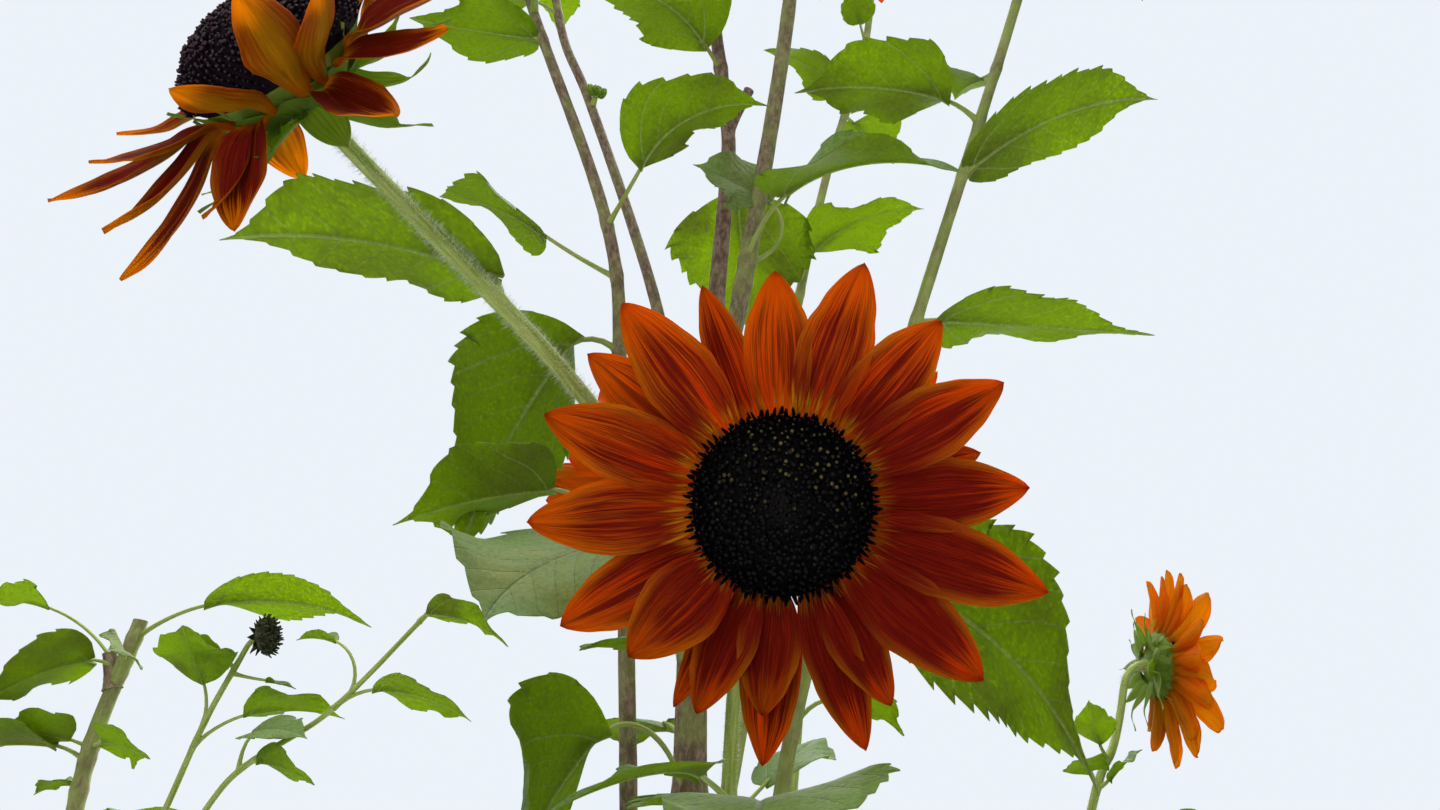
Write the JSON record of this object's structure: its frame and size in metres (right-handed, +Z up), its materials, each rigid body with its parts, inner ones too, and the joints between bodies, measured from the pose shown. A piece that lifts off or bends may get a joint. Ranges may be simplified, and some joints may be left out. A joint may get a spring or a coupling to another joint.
{
  "type": "sunflower plant",
  "caption": "Tall rooted ornamental sunflower: a tapering stem forking into slender limbs, heart-shaped toothed leaves on long stalks, and rust-red rayed blooms with dark domed discs.",
  "frame": {"origin": "centre of the flat cut under the main stem, at ground level", "axes": "+Z up along the plant's height, +X to the right and -Y towards the side on which the largest bloom faces out"},
  "size_m": [0.7312, 0.5794, 2.0343],
  "materials": {
    "stem": "matt, finely bristled",
    "foliage": "matt leaf, lighter underneath",
    "bloom": "velvety petals round a near-black disc",
    "seed": "dry and matt"
  },
  "bodies": {
    "root": {"main_stem": "stem", "bough_front": "stem", "bough_left": "stem", "bough_left_thin": "stem", "bough_centre_right": "stem", "bough_right": "stem", "bough_upper_left": "stem", "bough_back": "stem", "bough_lower_right": "stem", "bough_far_left": "stem", "bough_seed": "stem", "bough_far_thin": "stem", "bough_back_left": "stem", "bough_back_right": "stem", "bloom_front": "bloom", "bloom_upper_left": "bloom", "bloom_lower_right": "bloom", "bloom_top": "bloom", "bloom_left": "bloom", "bloom_right": "bloom", "bloom_back": "bloom", "bloom_back_left": "bloom", "bloom_back_right": "bloom", "bloom_centre_right": "bloom", "seed_head": "seed", "mass_top": "foliage", "mass_front": "foliage", "mass_left": "foliage", "mass_left_thin": "foliage", "mass_centre_right": "foliage", "mass_right": "foliage", "mass_upper_left": "foliage", "mass_back": "foliage", "mass_lower_right": "foliage", "mass_far_left": "foliage", "mass_seed": "foliage", "mass_far_thin": "foliage", "mass_back_left": "foliage", "mass_back_right": "foliage", "leaf_upper_1": "foliage", "leaf_upper_2": "foliage", "leaf_upper_3": "foliage", "leaf_1": "foliage", "leaf_2": "foliage", "leaf_3": "foliage", "leaf_4": "foliage", "leaf_5": "foliage", "leaf_6": "foliage", "leaf_7": "foliage", "leaf_8": "foliage", "leaf_9": "foliage", "leaf_10": "foliage", "leaf_11": "foliage"}
  },
  "joints": []
}
